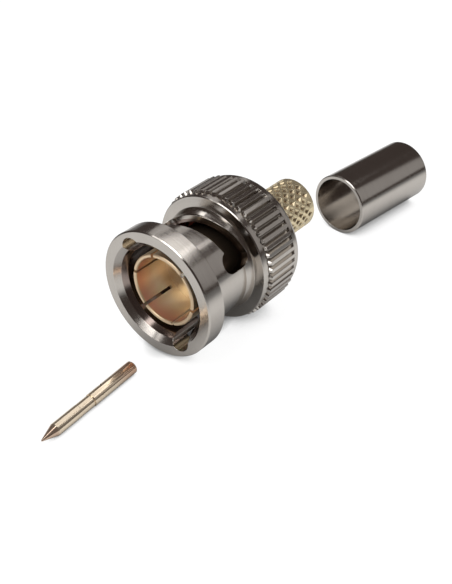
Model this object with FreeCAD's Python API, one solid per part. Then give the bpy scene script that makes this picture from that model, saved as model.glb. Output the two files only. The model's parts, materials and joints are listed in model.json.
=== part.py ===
import FreeCAD, Part
import math
import os

# Bayonet video plug for a crimped coaxial cable, in millimetres.
# The plug lies along X. The nut's front face is at X = 0, the cable leaves towards +X,
# and angles around the axis are measured from -Y towards +Z.

# Coupling nut, outside, from the front face to the rear edge
flange_rim = 0.65
flange_width = 2.44
flange_edge_break = 0.14
nut_wall = 0.75
slotted_length = 5.36
taper_height = 0.27
taper_length = 1.04
shoulder_slope = 0.2
collar_diameter = 14.6
collar_edge_break = 0.1
front_band = 0.62
rear_band = 0.94
rear_edge_radius = 0.4

# Ribs of the nut's grip, which stand in a shallow recess between the two bands
rib_count = 54
rib_length = 4.54
rib_width = 0.76
rib_end_width = 0.34
rib_slope = 0.18
rib_height = 0.3
grip_recess = 0.15
grip_margin = 0.08

# Coupling nut, inside
socket_gap = 0.885
mouth_chamfer = 0.61
lead_in_height = 0.34
lead_in_length = 0.7
rear_wall_thickness = 1.1
rear_recess_diameter = 12.0
rear_recess_depth = 0.68

# Bayonet track that the two studs of the socket run in
track_width = 2.44
entry_width = 2.8
track_starts = (123.4, 303.4)
track_turn = 92.9
track_start_depth = 5.76
track_rise = 1.6
detent_depth = 1.1
entry_notch_depth = 1.55

# Slotted outer contact
contact_diameter = 8.33
contact_wall = 0.44
contact_rear_wall = 0.465
contact_root_height = 0.185
contact_recess = 1.09
cup_depth = 4.61
cup_floor_thickness = 1.0
cup_floor_hole = 4.3
finger_count = 6
slit_width = 0.36
slit_length = 4.06
slit_phase = 48.0
contact_edge_break = 0.1

# Plug body with its knurled crimp barrel
flange_clearance = 0.08
body_flange_width = 0.8
neck_wall = 0.4
neck_clearance = 0.06
neck_tail = 0.6
spigot_length = 3.0
spigot_wall = 0.6
barrel_diameter = 6.2
barrel_wall = 0.7
barrel_length = 8.74
barrel_edge_break = 0.15

# Diamond knurl of the crimp barrel
knurl_columns = 16
knurl_pitch = 1.22
knurl_pit_length = 0.96
knurl_pit_width = 0.96
knurl_pit_depth = 0.26
knurl_rear_margin = 0.5
knurl_phase = 23.0

# Insulator, gasket, springs and washers
insulator_length = 5.8
insulator_nose_length = 0.95
insulator_clearance = 0.05
pin_hole_diameter = 1.5
gasket_thickness = 0.8
gasket_clearance = 0.1
seat_gap = 0.02
wave_height = 0.58
wave_thickness = 0.2
wave_count = 3
washer_thickness = 0.3
washer_clearance = 0.1
ring_height = 1.0
ring_thickness = 0.5
ring_groove_depth = 0.3
ring_gap_angle = 50.0

# Crimp ferrule and where it lies behind the plug
ferrule_diameter = 7.8
ferrule_wall = 0.45
ferrule_length = 13.7
ferrule_edge_break = 0.1
ferrule_x = 32.95
ferrule_y = -1.27
ferrule_yaw = -6.63

# Centre pin and where it lies in front of the plug
pin_shaft_diameter = 1.354
pin_neck_diameter = 1.31
pin_crimp_diameter = 1.42
pin_cone_length = 1.83
pin_shaft_length = 3.2
pin_neck_length = 1.86
pin_crimp_length = 6.31
pin_tip_diameter = 0.16
pin_groove_width = 0.14
pin_groove_depth = 0.07
pin_edge_break = 0.1
wire_bore = 1.08
wire_bore_depth = 5.6
inspection_hole = 0.5
inspection_hole_setback = 4.5
pin_x = -17.15
pin_y = -0.75
pin_yaw = 3.38

# Stations along the axis that follow from the sizes above
taper_x = flange_width + slotted_length + taper_length
collar_x = taper_x + shoulder_slope
grip_front = collar_x + front_band
ribs_start_x = grip_front + grip_margin
grip_back = ribs_start_x + rib_length + grip_margin
nut_length = grip_back + rear_band
rear_wall_back = nut_length - rear_recess_depth
rear_wall_front = rear_wall_back - rear_wall_thickness
washer_back = rear_wall_front - seat_gap
washer_front = washer_back - washer_thickness
rear_wave_front = washer_front - seat_gap - wave_height
front_wave_front = rear_wave_front - seat_gap - wave_height
body_flange_back = front_wave_front - seat_gap
body_flange_front = body_flange_back - body_flange_width
contact_root_x = body_flange_front - gasket_thickness
spigot_front = body_flange_front - spigot_length
ring_front = rear_wall_back + seat_gap
ring_back = ring_front + ring_thickness
neck_back = ring_back + neck_tail
barrel_back = neck_back + barrel_length
cup_floor_x = contact_recess + cup_depth
insulator_front = cup_floor_x + cup_floor_thickness
insulator_back = insulator_front + insulator_length

# Diameters that follow from the sizes above
nut_bore = contact_diameter + 2 * socket_gap
lead_in_diameter = nut_bore + 2 * lead_in_height
mouth_diameter = lead_in_diameter + 2 * mouth_chamfer
entry_notch_diameter = nut_bore + 2 * entry_notch_depth
flange_diameter = entry_notch_diameter + 2 * flange_rim
slotted_diameter = nut_bore + 2 * nut_wall
taper_diameter = slotted_diameter + 2 * taper_height
contact_bore = contact_diameter - 2 * contact_wall
contact_root_diameter = contact_diameter + 2 * contact_root_height
socket_diameter = contact_diameter - 2 * contact_rear_wall
insulator_diameter = socket_diameter - 2 * spigot_wall
neck_diameter = insulator_diameter + 2 * neck_wall
body_flange_diameter = nut_bore - 2 * flange_clearance
nut_rear_hole = neck_diameter + 2 * neck_clearance
ring_groove_diameter = neck_diameter - 2 * ring_groove_depth
ring_diameter = neck_diameter + 2 * ring_height
barrel_bore = barrel_diameter - 2 * barrel_wall
ferrule_bore = ferrule_diameter - 2 * ferrule_wall
grip_root_diameter = collar_diameter - 2 * grip_recess
grip_diameter = collar_diameter + 2 * rib_height
floor_z = -grip_diameter / 2

axis_x = FreeCAD.Vector(1, 0, 0)
axis_z = FreeCAD.Vector(0, 0, 1)
origin = FreeCAD.Vector(0, 0, 0)


def turned(outline):
    # A closed outline of (station, diameter) pairs, turned round the X axis
    corners = [FreeCAD.Vector(x, 0, diameter / 2) for x, diameter in outline]
    face = Part.Face(Part.makePolygon(corners + corners[:1]))
    return face.revolve(origin, axis_x, 360)


def rim_edges(solid, x, diameter):
    edges = []
    for edge in solid.Edges:
        if isinstance(edge.Curve, Part.Circle):
            off_station = abs(edge.Curve.Center.x - x)
            off_size = abs(edge.Curve.Radius - diameter / 2)
            if off_station < 1e-4 and off_size < 1e-4:
                edges.append(edge)
    return edges


def turned_to(solid, angle):
    # Turns a shape that was drawn over the +Z side to an angle around the axis
    copy = solid.copy()
    copy.rotate(origin, axis_x, 90 - angle)
    return copy


def track_section(angle, station, width, low, high):
    # One cross-section of the bayonet ramp, in the plane through the axis at this angle
    radial = FreeCAD.Vector(0, -math.cos(math.radians(angle)), math.sin(math.radians(angle)))
    front = FreeCAD.Vector(station - width / 2, 0, 0)
    back = FreeCAD.Vector(station + width / 2, 0, 0)
    corners = [front + radial * low, back + radial * low, back + radial * high, front + radial * high]
    return Part.makePolygon(corners + corners[:1])


def bayonet_track(start_angle):
    # Entry notch, rising ramp and the detent pocket that the stud drops forward into
    low = nut_bore / 2 - 0.5
    high = taper_diameter / 2 + 0.6
    radius = track_width / 2
    entry_radius = entry_width / 2
    notch_centre = entry_notch_diameter / 2 - entry_radius
    end_angle = start_angle - track_turn
    ramp_end = track_start_depth + track_rise
    detent_x = ramp_end - detent_depth

    corner_x = track_start_depth + radius - entry_radius
    channel_length = corner_x + 1
    channel = Part.makeBox(channel_length, entry_width, notch_centre - low,
                           FreeCAD.Vector(-1, -entry_radius, low))
    channel_top = Part.makeCylinder(entry_radius, channel_length, FreeCAD.Vector(-1, 0, notch_centre), axis_x)
    corner = Part.makeCylinder(entry_radius, high - low, FreeCAD.Vector(corner_x, 0, low), axis_z)
    entry = [turned_to(piece, start_angle) for piece in (channel, channel_top, corner)]

    lead = track_rise / (math.radians(track_turn) * slotted_diameter / 2)
    axial_width = track_width * math.sqrt(1 + lead * lead)
    steps = 8
    sections = []
    for step in range(steps + 1):
        share = step / steps
        sections.append(track_section(start_angle - share * track_turn,
                                      track_start_depth + share * track_rise, axial_width, low, high))
    ramp = Part.makeLoft(sections, True, False)

    ramp_corner = Part.makeCylinder(radius, high - low, FreeCAD.Vector(ramp_end, 0, low), axis_z)
    pocket = Part.makeCylinder(radius, high - low, FreeCAD.Vector(detent_x, 0, low), axis_z)
    link = Part.makeBox(detent_depth, track_width, high - low, FreeCAD.Vector(detent_x, -radius, low))
    detent = [turned_to(piece, end_angle) for piece in (ramp_corner, pocket, link)]
    return ramp.multiFuse(entry + detent)


def rib_outline(level, inset):
    # The eight corners of a rib at one height, drawn in by the inset on every side
    half = rib_width / 2 - inset
    corner = (rib_width - rib_end_width) / 2 - inset * (2 - math.sqrt(2))
    end = half - corner
    near = ribs_start_x + inset
    far = ribs_start_x + rib_length - inset
    outline = [(near, end), (near + corner, half), (far - corner, half), (far, end),
               (far, -end), (far - corner, -half), (near + corner, -half), (near, -end)]
    return [FreeCAD.Vector(x, y, level) for x, y in outline]


def grip_rib():
    # One raised rib with sloping sides and blunted ends, over the +Z side
    sunk = 0.1
    slope = rib_slope / (rib_height + grip_recess)
    root = rib_outline(grip_root_diameter / 2 - sunk, -sunk * slope)
    top = rib_outline(grip_diameter / 2, rib_slope)
    faces = [Part.Face(Part.makePolygon(outline + outline[:1])) for outline in (root, top)]
    for number in range(len(root)):
        following = (number + 1) % len(root)
        corners = [root[number], root[following], top[following], top[number], root[number]]
        faces.append(Part.Face(Part.makePolygon(corners)))
    return Part.makeSolid(Part.makeShell(faces))


def coupling_nut():
    flange_break = 2 * flange_edge_break
    rear_break = 2 * rear_edge_radius
    blank = turned([
        (0, mouth_diameter), (0, flange_diameter - flange_break), (flange_edge_break, flange_diameter),
        (flange_width - flange_edge_break, flange_diameter),
        (flange_width, flange_diameter - flange_break), (flange_width, slotted_diameter),
        (flange_width + slotted_length, slotted_diameter), (taper_x, taper_diameter),
        (collar_x - collar_edge_break, collar_diameter - 2 * collar_edge_break),
        (collar_x, collar_diameter), (grip_front, collar_diameter),
        (grip_front, grip_root_diameter), (grip_back, grip_root_diameter),
        (grip_back, collar_diameter), (nut_length - rear_edge_radius, collar_diameter),
        (nut_length - 0.3 * rear_edge_radius, collar_diameter - 0.3 * rear_break),
        (nut_length, collar_diameter - rear_break),
        (nut_length, rear_recess_diameter), (rear_wall_back, rear_recess_diameter),
        (rear_wall_back, nut_rear_hole), (rear_wall_front, nut_rear_hole),
        (rear_wall_front, nut_bore), (mouth_chamfer + lead_in_length, nut_bore),
        (mouth_chamfer, lead_in_diameter),
    ])
    rib = grip_rib()
    ribs = [turned_to(rib, number * 360 / rib_count) for number in range(rib_count)]
    blank = blank.multiFuse(ribs)
    return blank.cut([bayonet_track(angle) for angle in track_starts])


def outer_contact():
    # The front of the sleeve is slit into spring fingers round a cup with a closed-in floor
    sleeve = turned([
        (contact_recess, contact_bore), (contact_recess, contact_diameter),
        (contact_root_x, contact_diameter), (contact_root_x, contact_root_diameter),
        (body_flange_front, contact_root_diameter), (body_flange_front, socket_diameter),
        (spigot_front, socket_diameter), (spigot_front, insulator_diameter),
        (insulator_front, insulator_diameter), (insulator_front, cup_floor_hole),
        (cup_floor_x, cup_floor_hole), (cup_floor_x, contact_bore),
    ])
    lip = rim_edges(sleeve, contact_recess, contact_diameter) + rim_edges(sleeve, contact_recess, contact_bore)
    sleeve = sleeve.makeChamfer(contact_edge_break, lip)
    slit_end = contact_recess + slit_length
    slit = Part.makeBox(slit_length + 1, slit_width, contact_diameter,
                        FreeCAD.Vector(slit_end - slit_length - 1, -slit_width / 2, contact_bore / 4))
    slits = [turned_to(slit, slit_phase + number * 360 / finger_count) for number in range(finger_count)]
    return sleeve.cut(slits)


def knurl_pit():
    # A four-sided pit, drawn over the +Z side at station 0, deepest at its middle
    above = 0.2
    reach = 1 + above / knurl_pit_depth
    half_length = knurl_pit_length / 2 * reach
    half_width = knurl_pit_width / 2 * reach
    level = barrel_diameter / 2 + above
    rim = [FreeCAD.Vector(-half_length, 0, level), FreeCAD.Vector(0, -half_width, level),
           FreeCAD.Vector(half_length, 0, level), FreeCAD.Vector(0, half_width, level)]
    bottom = FreeCAD.Vector(0, 0, barrel_diameter / 2 - knurl_pit_depth)
    faces = [Part.Face(Part.makePolygon(rim + rim[:1]))]
    for number in range(4):
        corner = rim[number]
        following = rim[(number + 1) % 4]
        faces.append(Part.Face(Part.makePolygon([corner, following, bottom, corner])))
    return Part.makeSolid(Part.makeShell(faces))


def barrel_knurl():
    pit = knurl_pit()
    pits = []
    last = barrel_back - knurl_rear_margin - knurl_pit_length / 2
    rows = int((last - neck_back - knurl_pit_length) / (knurl_pitch / 2)) + 1
    for row in range(rows):
        for column in range(knurl_columns):
            turn = knurl_phase + (column + (row % 2) / 2) * 360 / knurl_columns
            placed = turned_to(pit, turn)
            placed.translate(FreeCAD.Vector(last - row * knurl_pitch / 2, 0, 0))
            pits.append(placed)
    return pits


def barrel_ring(x, diameter):
    # The barrel's outline at one station: a corner under each column of pits
    corners = []
    for number in range(2 * knurl_columns):
        angle = math.radians(knurl_phase + number * 180 / knurl_columns)
        corners.append(FreeCAD.Vector(x, -diameter / 2 * math.cos(angle), diameter / 2 * math.sin(angle)))
    return Part.makePolygon(corners + corners[:1])


def crimp_barrel():
    # The rolled knurl leaves a flat between two columns of pits, all round the barrel
    root = barrel_ring(neck_back - neck_tail, barrel_diameter)
    full = barrel_ring(barrel_back - barrel_edge_break, barrel_diameter)
    rear = barrel_ring(barrel_back, barrel_diameter - 2 * barrel_edge_break)
    stem = Part.makeLoft([root, full], True, True).fuse(Part.makeLoft([full, rear], True, True))
    return stem.cut(barrel_knurl())


def plug_body():
    body = turned([
        (spigot_front, 0), (spigot_front, socket_diameter), (body_flange_front, socket_diameter),
        (body_flange_front, body_flange_diameter), (body_flange_back, body_flange_diameter),
        (body_flange_back, neck_diameter), (ring_front, neck_diameter),
        (ring_front, ring_groove_diameter), (ring_back + seat_gap, ring_groove_diameter),
        (ring_back + seat_gap, neck_diameter), (neck_back, neck_diameter), (neck_back, 0),
    ])
    body = body.makeChamfer(barrel_edge_break, rim_edges(body, neck_back, neck_diameter))
    hollow = turned([
        (spigot_front, 0), (spigot_front, insulator_diameter), (insulator_back, insulator_diameter),
        (insulator_back, barrel_bore), (barrel_back, barrel_bore), (barrel_back, 0),
    ])
    return body.fuse(crimp_barrel()).cut(hollow)


def insulator():
    nose_diameter = cup_floor_hole - 2 * insulator_clearance
    nose_front = insulator_front - insulator_nose_length
    return turned([
        (nose_front, pin_hole_diameter), (nose_front, nose_diameter), (insulator_front, nose_diameter),
        (insulator_front, insulator_diameter), (insulator_back, insulator_diameter),
        (insulator_back, pin_hole_diameter),
    ])


def gasket():
    outer = body_flange_diameter - 2 * gasket_clearance
    ring = turned([
        (contact_root_x, contact_root_diameter), (contact_root_x, outer),
        (body_flange_front, outer), (body_flange_front, contact_root_diameter),
    ])
    return ring.makeChamfer(gasket_thickness / 4, rim_edges(ring, contact_root_x, outer))


def wavy_loop(diameter, middle, phase):
    # Corners of a closed line round the axis that waves to and fro along it
    swing = (wave_height - wave_thickness) / 2
    corners = []
    steps = 8 * wave_count
    for number in range(steps):
        angle = 2 * math.pi * number / steps
        x = middle + swing * math.cos(wave_count * angle + phase)
        corners.append(FreeCAD.Vector(x, -diameter / 2 * math.cos(angle), diameter / 2 * math.sin(angle)))
    return corners


def wave_washer(front, phase):
    inner = nut_rear_hole + 2 * washer_clearance
    outer = body_flange_diameter - 2 * washer_clearance
    near = front + wave_height / 2 - wave_thickness / 2
    far = near + wave_thickness
    loops = [wavy_loop(inner, near, phase), wavy_loop(outer, near, phase),
             wavy_loop(outer, far, phase), wavy_loop(inner, far, phase)]
    faces = []
    for number in range(4):
        near_loop = loops[number]
        far_loop = loops[(number + 1) % 4]
        for step in range(len(near_loop)):
            following = (step + 1) % len(near_loop)
            corners = [near_loop[step], near_loop[following], far_loop[following], far_loop[step]]
            for half in (corners[:3], [corners[0]] + corners[2:]):
                faces.append(Part.Face(Part.makePolygon(half + half[:1])))
    return Part.makeSolid(Part.makeShell(faces))


def thrust_washer():
    return turned([
        (washer_front, nut_rear_hole), (washer_front, body_flange_diameter),
        (washer_back, body_flange_diameter), (washer_back, nut_rear_hole),
    ])


def retaining_ring():
    ring = turned([
        (ring_front, ring_groove_diameter), (ring_front, ring_diameter),
        (ring_back, ring_diameter), (ring_back, ring_groove_diameter),
    ])
    half = math.radians(ring_gap_angle / 2)
    reach = ring_diameter
    corners = [FreeCAD.Vector(ring_front - 1, 0, 0),
               FreeCAD.Vector(ring_front - 1, -reach * math.sin(half), reach * math.cos(half)),
               FreeCAD.Vector(ring_front - 1, reach * math.sin(half), reach * math.cos(half))]
    wedge = Part.Face(Part.makePolygon(corners + corners[:1]))
    return ring.cut(wedge.extrude(FreeCAD.Vector(ring_thickness + 2, 0, 0)))


def laid(solid, x, y, yaw, diameter):
    # Lays a turned piece on the surface that the plug's ribs rest on
    placed = solid.copy()
    placed.rotate(origin, axis_z, yaw)
    placed.translate(FreeCAD.Vector(x, y, floor_z + diameter / 2))
    return placed


def crimp_ferrule():
    tube = turned([
        (0, ferrule_bore), (0, ferrule_diameter),
        (ferrule_length, ferrule_diameter), (ferrule_length, ferrule_bore),
    ])
    rims = rim_edges(tube, 0, ferrule_diameter) + rim_edges(tube, ferrule_length, ferrule_diameter)
    return laid(tube.makeChamfer(ferrule_edge_break, rims), ferrule_x, ferrule_y, ferrule_yaw, ferrule_diameter)


def centre_pin():
    shaft_back = pin_cone_length + pin_shaft_length
    crimp_front = shaft_back + pin_neck_length
    crimp_back = crimp_front + pin_crimp_length
    groove_diameter = pin_neck_diameter - 2 * pin_groove_depth
    pin = turned([
        (0, 0), (0, pin_tip_diameter),
        (pin_cone_length, pin_shaft_diameter), (shaft_back, pin_shaft_diameter),
        (shaft_back, pin_neck_diameter), (crimp_front - pin_groove_width, pin_neck_diameter),
        (crimp_front - pin_groove_width, groove_diameter), (crimp_front, groove_diameter),
        (crimp_front, pin_crimp_diameter), (crimp_back, pin_crimp_diameter),
        (crimp_back, wire_bore), (crimp_back - wire_bore_depth, wire_bore),
        (crimp_back - wire_bore_depth - wire_bore / 4, 0),
    ])
    pin = pin.makeChamfer(pin_edge_break, rim_edges(pin, crimp_back, pin_crimp_diameter))
    hole = Part.makeCylinder(inspection_hole / 2, pin_crimp_diameter,
                             FreeCAD.Vector(crimp_back - inspection_hole_setback, 0, 0), axis_z)
    hole.rotate(origin, axis_x, -45)
    return laid(pin.cut(hole), pin_x, pin_y, pin_yaw, pin_crimp_diameter)


pieces = {
    "coupling_nut": coupling_nut(),
    "outer_contact": outer_contact(),
    "plug_body": plug_body(),
    "insulator": insulator(),
    "gasket": gasket(),
    "wave_washer_front": wave_washer(front_wave_front, 0),
    "wave_washer_rear": wave_washer(rear_wave_front, math.pi),
    "thrust_washer": thrust_washer(),
    "retaining_ring": retaining_ring(),
    "crimp_ferrule": crimp_ferrule(),
    "centre_pin": centre_pin(),
}

os.makedirs("parts", exist_ok=True)
for name, shape in pieces.items():
    shape.exportStep("parts/" + name + ".step")
    print(name, len(shape.Solids), "solid", round(shape.Volume, 3), "mm3", "valid" if shape.isValid() else "invalid")
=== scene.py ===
import json
import math

import bpy
from mathutils import Matrix, Vector


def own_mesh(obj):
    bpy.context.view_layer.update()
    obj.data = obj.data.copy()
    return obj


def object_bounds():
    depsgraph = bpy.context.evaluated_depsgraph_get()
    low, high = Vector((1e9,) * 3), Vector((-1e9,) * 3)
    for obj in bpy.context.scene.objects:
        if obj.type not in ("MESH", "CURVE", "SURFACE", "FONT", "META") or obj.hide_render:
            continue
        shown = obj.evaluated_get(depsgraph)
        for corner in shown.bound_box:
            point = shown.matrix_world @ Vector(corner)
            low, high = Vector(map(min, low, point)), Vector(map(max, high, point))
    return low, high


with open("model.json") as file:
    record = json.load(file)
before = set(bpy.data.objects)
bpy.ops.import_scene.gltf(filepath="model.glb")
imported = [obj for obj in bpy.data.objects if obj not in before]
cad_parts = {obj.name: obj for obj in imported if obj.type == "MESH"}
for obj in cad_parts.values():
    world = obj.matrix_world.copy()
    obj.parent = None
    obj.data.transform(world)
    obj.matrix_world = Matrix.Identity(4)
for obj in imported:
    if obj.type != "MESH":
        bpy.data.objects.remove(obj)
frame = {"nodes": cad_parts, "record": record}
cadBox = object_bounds()
nodes = frame["nodes"]
mounts = {mount["name"]: mount for mount in frame["record"]["mounts"]}
print("frame loaded:", len(nodes), "nodes")

mm = 0.001
floorHeight = cadBox[0][2]


# Shader helpers
def addNode(tree, kind, **settings):
    node = tree.nodes.new(kind)
    for name, value in settings.items():
        setattr(node, name, value)
    return node


def feed(tree, value, socket):
    # Links another node's output, or sets a plain number, place or colour
    if isinstance(value, bpy.types.NodeSocket):
        tree.links.new(value, socket)
    elif socket.type == "RGBA":
        socket.default_value = (*value, 1.0)
    else:
        socket.default_value = value


def mathNode(tree, operation, *values, clamp=False):
    node = addNode(tree, "ShaderNodeMath", operation=operation, use_clamp=clamp)
    for socket, value in zip(node.inputs, values):
        feed(tree, value, socket)
    return node.outputs[0]


def product(tree, first, *others):
    for other in others:
        first = mathNode(tree, "MULTIPLY", first, other)
    return first


def vectorMath(tree, operation, *values):
    node = addNode(tree, "ShaderNodeVectorMath", operation=operation)
    for socket, value in zip(node.inputs, values):
        feed(tree, value, socket)
    return node.outputs


def ramp(tree, value, low, high, least=0.0, most=1.0):
    # Runs from the least at low to the most at high, and stays level beyond them
    node = addNode(tree, "ShaderNodeMapRange")
    for name, limit in (("Value", value), ("From Min", low), ("From Max", high),
                        ("To Min", least), ("To Max", most)):
        feed(tree, limit, node.inputs[name])
    return node.outputs["Result"]


def noise(tree, vector, scale, detail, roughness=0.5):
    node = addNode(tree, "ShaderNodeTexNoise")
    for name, value in (("Vector", vector), ("Scale", scale), ("Detail", detail),
                        ("Roughness", roughness)):
        feed(tree, value, node.inputs[name])
    return node.outputs["Fac"]


def openness(tree, reach, samples=8, **settings):
    # One in the open, and less where something stands within reach
    node = addNode(tree, "ShaderNodeAmbientOcclusion", samples=samples, **settings)
    feed(tree, reach, node.inputs["Distance"])
    return node.outputs["AO"]


def mixColour(tree, mask, first, second):
    # The mix node has its sockets once for each kind of value, so colours go by number
    node = addNode(tree, "ShaderNodeMix", data_type="RGBA")
    feed(tree, mask, node.inputs["Factor"])
    feed(tree, first, node.inputs[6])
    feed(tree, second, node.inputs[7])
    return node.outputs[2]


def addBump(tree, height, settings):
    node = addNode(tree, "ShaderNodeBump")
    feed(tree, settings["bump"], node.inputs["Strength"])
    feed(tree, settings["bumpDepth"], node.inputs["Distance"])
    feed(tree, height, node.inputs["Height"])
    return node


def newGroup(name, inputs, outputs):
    # A shader node group with its named sockets: numbers, apart from vectors and normals
    tree = bpy.data.node_groups.new(name, "ShaderNodeTree")
    for side, socketNames in (("INPUT", inputs), ("OUTPUT", outputs)):
        for socketName in socketNames:
            isVector = socketName in ("Vector", "Normal")
            kind = "NodeSocketVector" if isVector else "NodeSocketFloat"
            tree.interface.new_socket(socketName, in_out=side, socket_type=kind)
    return tree, addNode(tree, "NodeGroupInput").outputs, addNode(tree, "NodeGroupOutput").inputs


def addGroup(tree, group, values):
    node = addNode(tree, "ShaderNodeGroup", node_tree=group)
    for name, value in values.items():
        feed(tree, value, node.inputs[name])
    return node.outputs


def newMaterial(name):
    material = bpy.data.materials.new(name)
    material.use_nodes = True
    return material, material.node_tree


def rayKinds(tree):
    # Rays straight from the camera, and rays that come by way of metal or glass
    rays = addNode(tree, "ShaderNodeLightPath").outputs
    mirrored = mathNode(tree, "MAXIMUM", rays["Is Glossy Ray"], rays["Is Transmission Ray"])
    return rays["Is Camera Ray"], mirrored


# Lathe marks: fine rings left by the turning tool round the X axis, and broad streaks
turning = {
    "turnShare": 0.35,  # how much the rings change on the way round
    "fineScale": 1.0,
    "fineDetail": 3.0,
    "fineRoughness": 0.65,
    "broadScale": 0.22,
    "broadDetail": 2.0,
}


def makeLatheMarks():
    tree, start, end = newGroup("latheMarks", ["Vector", "Rings per Metre"],
                                ["Height", "Streaks", "Radius", "Station"])
    split = addNode(tree, "ShaderNodeSeparateXYZ")
    feed(tree, start["Vector"], split.inputs[0])
    x, y, z = split.outputs
    radius = mathNode(tree, "SQRT", mathNode(tree, "ADD", product(tree, y, y), product(tree, z, z)))
    turn = mathNode(tree, "ARCTAN2", z, y)
    rings = addNode(tree, "ShaderNodeCombineXYZ")
    feed(tree, product(tree, x, start["Rings per Metre"]), rings.inputs[0])
    feed(tree, product(tree, radius, start["Rings per Metre"]), rings.inputs[1])
    feed(tree, product(tree, turn, turning["turnShare"]), rings.inputs[2])
    place = rings.outputs[0]
    fine = noise(tree, place, turning["fineScale"], turning["fineDetail"], turning["fineRoughness"])
    broad = noise(tree, place, turning["broadScale"], turning["broadDetail"])
    feed(tree, fine, end["Height"])
    feed(tree, broad, end["Streaks"])
    feed(tree, radius, end["Radius"])
    feed(tree, x, end["Station"])
    return tree


def makeEdgeWear(samples=6):
    # Finds sharp edges by how far the rounded normal leans from the true one
    tree, start, end = newGroup("edgeWear", ["Radius", "Strength"], ["Mask", "Normal"])
    rounded = addNode(tree, "ShaderNodeBevel", samples=samples)
    feed(tree, start["Radius"], rounded.inputs["Radius"])
    trueNormal = addNode(tree, "ShaderNodeNewGeometry").outputs["Normal"]
    same = vectorMath(tree, "DOT_PRODUCT", rounded.outputs["Normal"], trueNormal)["Value"]
    lean = mathNode(tree, "SUBTRACT", 1.0, same)
    feed(tree, mathNode(tree, "MULTIPLY", lean, start["Strength"], clamp=True), end["Mask"])
    feed(tree, rounded.outputs["Normal"], end["Normal"])
    return tree


# Tarnish: cloudy patches and small specks, the same size on every piece
cloudiness = {
    "patchesPerMetre": 350.0,
    "patchDetail": 4.0,
    "specksPerMetre": 5200.0,
    "speckDetail": 2.0,
    "speckSpan": (0.62, 0.75),
}


def makeTarnish():
    tree, start, end = newGroup("tarnish", ["Vector", "Patches per Metre", "Specks per Metre"],
                                ["Clouds", "Specks"])
    clouds = noise(tree, start["Vector"], start["Patches per Metre"], cloudiness["patchDetail"])
    specks = noise(tree, start["Vector"], start["Specks per Metre"], cloudiness["speckDetail"])
    feed(tree, clouds, end["Clouds"])
    feed(tree, ramp(tree, specks, *cloudiness["speckSpan"]), end["Specks"])
    return tree


def makeGrimeAndShade():
    # Dark film that stays in grooves, slots and corners, more where they close the surface in:
    # partly grime, partly painted shade
    tree, start, end = newGroup("grimeAndShade", ["Reach", "Clean Below", "Full Above"], ["Mask"])
    hidden = mathNode(tree, "SUBTRACT", 1.0, openness(tree, start["Reach"], only_local=True))
    feed(tree, ramp(tree, hidden, start["Clean Below"], start["Full Above"]), end["Mask"])
    return tree


latheMarks = makeLatheMarks()
edgeWear = makeEdgeWear()
tarnish = makeTarnish()
grimeAndShade = makeGrimeAndShade()
print("shared effects made")


def pieceAxis(tree, mount):
    # Object coordinates, turned and moved so that X runs along the piece's own axis
    mapping = addNode(tree, "ShaderNodeMapping", vector_type="TEXTURE")
    feed(tree, addNode(tree, "ShaderNodeTexCoord").outputs["Object"], mapping.inputs["Vector"])
    if mount:
        axis = mounts[mount]["axis"]
        mapping.inputs["Location"].default_value = mounts[mount]["pos_m"]
        mapping.inputs["Rotation"].default_value = (0.0, 0.0, math.atan2(axis[1], axis[0]))
    return mapping.outputs["Vector"]


def addEffects(tree, settings, mount=None):
    # The shared effects that every finish has: lathe marks, edge wear and tarnish
    place = pieceAxis(tree, mount)
    marks = addGroup(tree, latheMarks,
                     {"Vector": place, "Rings per Metre": settings["ringsPerMetre"]})
    wear = addGroup(tree, edgeWear,
                    {"Radius": settings["edgeRadius"], "Strength": settings["edgeStrength"]})
    patches = addGroup(tree, tarnish, {"Vector": place,
                                       "Patches per Metre": cloudiness["patchesPerMetre"],
                                       "Specks per Metre": cloudiness["specksPerMetre"]})
    return marks, wear, patches


def makeMetal(name, finish, mount=None):
    # Plated, turned metal: clouds and specks first, then bright edges, grime with painted shade,
    # and films, some of which are painted shade or a painted reflection
    material, tree = newMaterial(name)
    shader = tree.nodes["Principled BSDF"].inputs
    shader["Metallic"].default_value = finish["metallic"]
    marks, wear, patches = addEffects(tree, finish, mount)

    colour = mixColour(tree, patches["Clouds"], finish["shade"], finish["colour"])
    dirtAndShade = product(tree, patches["Specks"], finish["specks"])
    colour = mixColour(tree, dirtAndShade, colour, finish["speckColour"])
    colour = mixColour(tree, wear["Mask"], colour, finish["edgeColour"])
    # Grime with painted shade: darker where the surface is closed in
    if "grimeAndShade" in finish:
        cleanBelow, fullAbove = finish["grimeAndShadeSpan"]
        dark = addGroup(tree, grimeAndShade, {"Reach": finish["grimeAndShadeReach"],
                                      "Clean Below": cleanBelow, "Full Above": fullAbove})
        dirtAndShade = product(tree, dark["Mask"], finish["grimeAndShade"])
        colour = mixColour(tree, dirtAndShade, colour, finish["grimeAndShadeColour"])
    for film in finish.get("films", []):
        share = film["share"]
        for measure, output in (("radius", "Radius"), ("station", "Station")):
            if measure in film:
                share = product(tree, ramp(tree, marks[output], *film[measure]), share)
        colour = mixColour(tree, share, colour, film["colour"])
    feed(tree, colour, shader["Base Color"])

    rough = ramp(tree, marks["Streaks"], 0.0, 1.0, *finish["roughness"])
    feed(tree, rough, shader["Roughness"])
    bump = addBump(tree, marks["Height"], finish)
    feed(tree, wear["Normal"], bump.inputs["Normal"])
    feed(tree, bump.outputs["Normal"], shader["Normal"])
    return material


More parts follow.
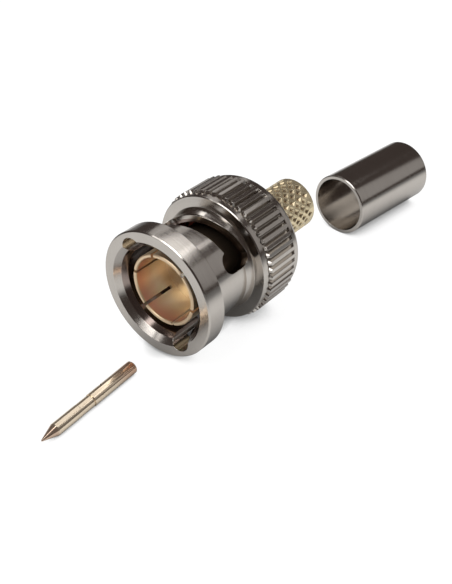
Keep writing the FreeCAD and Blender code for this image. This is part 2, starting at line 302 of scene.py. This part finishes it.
nickel = {
    "metallic": 1.0,
    "colour": (0.67, 0.63, 0.585),
    "shade": (0.59, 0.545, 0.495),
    "edgeColour": (0.8, 0.76, 0.7),
    "edgeRadius": 0.06 * mm,
    "edgeStrength": 5.0,
    # Grime with painted shade in grooves and corners
    "grimeAndShade": 0.55,
    "grimeAndShadeColour": (0.09, 0.075, 0.06),
    "grimeAndShadeReach": 0.35 * mm,
    "grimeAndShadeSpan": (0.4, 0.85),
    "specks": 0.12,
    "speckColour": (0.3, 0.27, 0.25),
    "roughness": (0.1, 0.24),
    "ringsPerMetre": 16000.0,
    "bump": 0.35,
    "bumpDepth": 0.002 * mm,
}

gold = {
    "metallic": 1.0,
    "colour": (0.92, 0.71, 0.48),
    "shade": (0.84, 0.62, 0.39),
    "edgeColour": (0.95, 0.84, 0.64),
    "edgeRadius": 0.05 * mm,
    "edgeStrength": 4.0,
    "specks": 0.15,
    "speckColour": (0.42, 0.24, 0.12),
    "roughness": (0.14, 0.28),
    "ringsPerMetre": 14000.0,
    "bump": 0.3,
    "bumpDepth": 0.002 * mm,
}

bronze = dict(gold, colour=(0.72, 0.5, 0.33), shade=(0.55, 0.36, 0.22), edgeColour=(0.8, 0.6, 0.42))

# A film tints part of a piece, by radius, by station along its axis or by both: there is none of
# its colour up to the first limit, and its full share from the second on. Most of the films below
# are painted shade or a painted reflection, and say so.

# Coupling nut: its inside is painted darker than its outside, as painted shade in the bore
nutInsideShade = {"radius": (5.42 * mm, 5.36 * mm), "share": 0.65, "colour": (0.24, 0.155, 0.13)}
nutNickel = dict(nickel, films=[nutInsideShade])

# Plug body: painted shade, dark brown, in the pits of the knurl
knurlPitShade = {"radius": (3.05 * mm, 2.88 * mm), "share": 0.85, "colour": (0.2, 0.1, 0.05)}
barrelGold = dict(
    gold,
    metallic=0.86,
    colour=(0.99, 0.85, 0.58),
    shade=(0.93, 0.78, 0.5),
    roughness=(0.2, 0.32),
    films=[knurlPitShade],
)

# Outer contact: painted shade where it shows behind the nut's slots, a painted reddish reflection
# inside near the lip, and the lip itself in plain pale gold
# Painted shade on the contact where it shows through the nut's slots
slotShade = {
    "radius": (4.02 * mm, 4.1 * mm),
    "station": (3.2 * mm, 4.4 * mm),
    "share": 0.95,
    "colour": (0.05, 0.03, 0.02),
}
# Painted reflection: the reddish tint of gold seen in gold, inside the cup near the lip
cupWallReflection = {
    "radius": (3.95 * mm, 3.85 * mm),
    "station": (3.7 * mm, 1.7 * mm),
    "share": 0.8,
    "colour": (0.76, 0.38, 0.31),
}
cupLip = {"station": (1.34 * mm, 1.22 * mm), "share": 1.0, "colour": (0.9, 0.7, 0.47)}
cupGold = dict(
    gold,
    metallic=0.84,
    colour=(0.99, 0.84, 0.6),
    shade=(0.94, 0.76, 0.51),
    roughness=(0.3, 0.42),
    films=[slotShade, cupWallReflection, cupLip],
)

# Centre pin: polished, copper towards its crimp end, and painted shade, brown, at its point
crimpEnd = {"station": (-0.8 * mm, 2.2 * mm), "share": 0.6, "colour": (0.74, 0.38, 0.24)}
pinPointShade = {"station": (-8.5 * mm, -8.8 * mm), "share": 0.5, "colour": (0.5, 0.27, 0.2)}
pinGold = dict(
    gold,
    metallic=0.85,
    colour=(0.98, 0.86, 0.68),
    shade=(0.9, 0.72, 0.53),
    edgeColour=(0.97, 0.93, 0.84),
    edgeStrength=1.5,
    specks=0.05,
    roughness=(0.07, 0.13),
    bump=0.02,
    films=[crimpEnd, pinPointShade],
)


def makePlastic(name, settings):
    # Moulded plastic or rubber, turned or cut, with a little light inside
    material, tree = newMaterial(name)
    shader = tree.nodes["Principled BSDF"].inputs
    marks, wear, patches = addEffects(tree, settings)
    colour = mixColour(tree, patches["Clouds"], settings["shade"], settings["colour"])
    colour = mixColour(tree, wear["Mask"], colour, settings["edgeColour"])
    rough = ramp(tree, patches["Specks"], 0.0, 1.0, *settings["roughness"])
    feed(tree, colour, shader["Base Color"])
    feed(tree, rough, shader["Roughness"])
    shader["Subsurface Weight"].default_value = settings["softLight"]
    shader["Subsurface Scale"].default_value = settings["softLightDepth"]
    bump = addBump(tree, marks["Height"], settings)
    feed(tree, bump.outputs["Normal"], shader["Normal"])
    return material


# Insulator
whitePlastic = {
    "colour": (0.9, 0.89, 0.86),
    "shade": (0.84, 0.82, 0.78),
    "edgeColour": (0.96, 0.95, 0.93),
    "edgeRadius": 0.08 * mm,
    "edgeStrength": 6.0,
    "roughness": (0.38, 0.5),
    "ringsPerMetre": 7000.0,
    "bump": 0.3,
    "bumpDepth": 0.004 * mm,
    "softLight": 0.25,
    "softLightDepth": 0.4 * mm,
}

# Gasket
redRubber = dict(
    whitePlastic,
    colour=(0.5, 0.1, 0.06),
    shade=(0.38, 0.06, 0.04),
    edgeColour=(0.58, 0.16, 0.1),
    roughness=(0.45, 0.6),
    ringsPerMetre=3000.0,
    softLight=0.05,
    softLightDepth=0.2 * mm,
)

finishes = {
    "coupling_nut": makeMetal("nickelNut", nutNickel),
    "thrust_washer": makeMetal("nickelWasher", nickel),
    "crimp_ferrule": makeMetal("nickelFerrule", nickel, "ferrule_bore"),
    "outer_contact": makeMetal("goldContact", cupGold),
    "plug_body": makeMetal("goldBody", barrelGold),
    "centre_pin": makeMetal("goldPin", pinGold, "wire_bore"),
    "wave_washer_front": makeMetal("bronzeWaveFront", bronze),
    "wave_washer_rear": makeMetal("bronzeWaveRear", bronze),
    "retaining_ring": makeMetal("bronzeRing", bronze),
    "insulator": makePlastic("whiteInsulator", whitePlastic),
    "gasket": makePlastic("redGasket", redRubber),
}

for name, material in finishes.items():
    slots = nodes[name].data.materials
    if len(slots) == 0:
        slots.append(material)
    for index in range(len(slots)):
        slots[index] = material
print("finishes given to", len(finishes), "nodes")


# The sprung washers flatten against the body's flange as the nut is pulled forward; here each only
# gets a mesh of its own
springs = {
    "names": ("wave_washer_front", "wave_washer_rear"),
    "joint": "nut_pull",
    "along": (1, 0, 0),
    "seat": (11.98 * mm, 0, 0),
    "pressedShare": 0.58,
}

for name in springs["names"]:
    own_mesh(nodes[name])


# Floor: white to the camera, with a painted shadow close to the part, and in the metal a bright
# painted sheet that fades away with distance and has its own painted shadow near the part. An edge
# or shade gives two limits, and the least light, which holds up to the first of them.
floor = {
    "width": 3.0,
    "colour": (0.8, 0.8, 0.8),
    "cameraGlow": 0.93,
    "mirrorGlow": 0.63,
    "whiteShare": 0.8,  # how much of the matt floor gives way to the glow
    "underCentre": (6 * mm, 0.4 * mm, 0),
    "underStretch": (0.5, 1, 0),
    "underEdge": (2 * mm, 3.6 * mm, 0.06),
    "contactReach": 4.5 * mm,
    "contactShade": (0.12, 0.42, 0.15),
    "mirrorReach": 14 * mm,
    "mirrorShade": (0.42, 0.97, 0.1),
    "sheetCentre": (20 * mm, 0, 0),
    "sheetStretch": (0.6, 1, 0),
    "sheetEdge": (70 * mm, 28 * mm, 0.12),
}


def stretchedDistance(tree, centre, stretch):
    place = addNode(tree, "ShaderNodeTexCoord").outputs["Object"]
    fromCentre = vectorMath(tree, "SUBTRACT", place, centre)["Vector"]
    stretched = vectorMath(tree, "MULTIPLY", fromCentre, stretch)["Vector"]
    return vectorMath(tree, "LENGTH", stretched)["Value"]


def addDiffuse(tree, colour):
    node = addNode(tree, "ShaderNodeBsdfDiffuse")
    feed(tree, colour, node.inputs["Color"])
    return node.outputs[0]


def makeFloorMaterial():
    material, tree = newMaterial("paleFloor")
    tree.nodes.clear()
    seen, mirrored = rayKinds(tree)

    # The strip of floor straight under the nut gets hardly any light
    underDistance = stretchedDistance(tree, floor["underCentre"], floor["underStretch"])
    under = ramp(tree, underDistance, *floor["underEdge"])
    # Painted contact shadow: the glow the camera sees falls where the part closes the floor in
    contact = ramp(tree, openness(tree, floor["contactReach"]), *floor["contactShade"])
    cameraPart = product(tree, seen, under, contact, floor["cameraGlow"])

    # Painted reflection: the glow the metal sees is a sheet that fades with distance
    sheetDistance = stretchedDistance(tree, floor["sheetCentre"], floor["sheetStretch"])
    sheet = ramp(tree, sheetDistance, *floor["sheetEdge"])
    # Painted shadow in that sheet where the part closes the floor in
    besideShadow = ramp(tree, openness(tree, floor["mirrorReach"]), *floor["mirrorShade"])
    mirrorPart = product(tree, mirrored, sheet, besideShadow, floor["mirrorGlow"])

    glow = addNode(tree, "ShaderNodeEmission")
    feed(tree, mathNode(tree, "ADD", cameraPart, mirrorPart), glow.inputs["Strength"])
    shown = mathNode(tree, "MAXIMUM", seen, mirrored)
    dimmed = addNode(tree, "ShaderNodeMixShader")
    feed(tree, product(tree, shown, floor["whiteShare"]), dimmed.inputs["Fac"])
    feed(tree, addDiffuse(tree, floor["colour"]), dimmed.inputs[1])
    feed(tree, addDiffuse(tree, (0, 0, 0)), dimmed.inputs[2])
    both = addNode(tree, "ShaderNodeAddShader")
    feed(tree, dimmed.outputs[0], both.inputs[0])
    feed(tree, glow.outputs[0], both.inputs[1])
    output = addNode(tree, "ShaderNodeOutputMaterial")
    feed(tree, both.outputs[0], output.inputs["Surface"])
    return material


def makeFloor():
    bpy.ops.mesh.primitive_plane_add(size=floor["width"], location=(0, 0, floorHeight))
    plane = bpy.context.object
    plane.name = "floor"
    plane.data.transform(Matrix.Translation((0, 0, floorHeight)))
    plane.location = (0, 0, 0)
    plane.data.materials.append(makeFloorMaterial())


# World: white behind the object, a dim studio in the metal, a plain fill for the rest
world = {
    "behind": (1.0, 1.0, 1.0),
    "mirror": (0.06, 0.048, 0.044),
    "fill": (0.5, 0.5, 0.5),
}


def makeWorld():
    scene = bpy.context.scene
    scene.world = bpy.data.worlds.new("studio")
    scene.world.use_nodes = True
    tree = scene.world.node_tree
    seen, mirrored = rayKinds(tree)
    unseen = mixColour(tree, mirrored, world["fill"], world["mirror"])
    colour = mixColour(tree, seen, unseen, world["behind"])
    feed(tree, colour, tree.nodes["Background"].inputs["Color"])
    scene.view_settings.view_transform = "Standard"


def aimed(name, data, place, direction):
    # A camera or a lamp that looks along the direction
    obj = bpy.data.objects.new(name, data)
    obj.location = place
    obj.rotation_mode = "QUATERNION"
    obj.rotation_quaternion = direction.to_track_quat("-Z", "Y")
    bpy.context.collection.objects.link(obj)
    return obj


# Camera: above and in front of the mating face, looking down along the plug
camera = {
    "place": (-53.2 * mm, -51.9 * mm, 53.4 * mm),
    "looksAlong": (0.6346, 0.5084, -0.5820),
    "lens": 54.93,
    "nearest": 1 * mm,
}


def addCamera():
    data = bpy.data.cameras.new("camera")
    data.lens = camera["lens"]
    data.clip_start = camera["nearest"]
    obj = aimed("camera", data, camera["place"], Vector(camera["looksAlong"]))
    bpy.context.scene.camera = obj


# Lamps: where each hangs, what it faces and its size, in mm, and how bright it looks
lamps = {
    "canopy": {"place": (33, 0, 50), "faces": (33, 0, 0), "size": (12, 96), "glow": 0.95},
    "overheadSpot": {"place": (53, -62, 238), "faces": (8, 0, 0), "size": (26, 40), "glow": 0.6},
    "highPanel": {"place": (-38, -10, 250), "faces": (12, 0, 0), "size": (60, 160), "glow": 1.6},
    "topSpot": {"place": (187, -48, 210), "faces": (8, 0, 0), "size": (40, 45), "glow": 0.5},
    "pinStrip": {"place": (133, 80, 246), "faces": (-12, 80, -6), "size": (560, 34), "glow": 0.7},
    "rightPanel": {"place": (211, -190, 112), "faces": (8, 0, 0), "size": (120, 170), "glow": 0.22},
    "backPanel": {"place": (74.6, 59.3, 60), "faces": (4, 0, 0), "size": (35, 30), "glow": 0.35},
    "leftPanel": {"place": (-223, 208, 252), "faces": (8, 0, 0), "size": (90, 90), "glow": 1.1},
    "frontPanel": {"place": (-150, 22, 196), "faces": (0, 0, 0), "size": (150, 120), "glow": 2.2},
}
powerPerGlow = 4  # a flat lamp of this power for its area looks as bright as its glow says


def addLamp(name, lamp):
    place = Vector(lamp["place"]) * mm
    direction = (Vector(lamp["faces"]) * mm - place).normalized()
    data = bpy.data.lights.new(name, "AREA")
    data.shape = "RECTANGLE"
    data.size, data.size_y = (side * mm for side in lamp["size"])
    data.energy = powerPerGlow * lamp["glow"] * data.size * data.size_y
    aimed(name, data, place, direction).visible_camera = False


addCamera()
makeFloor()
makeWorld()
for lampName, lampSettings in lamps.items():
    addLamp(lampName, lampSettings)
print("camera, floor, world and lamps made")
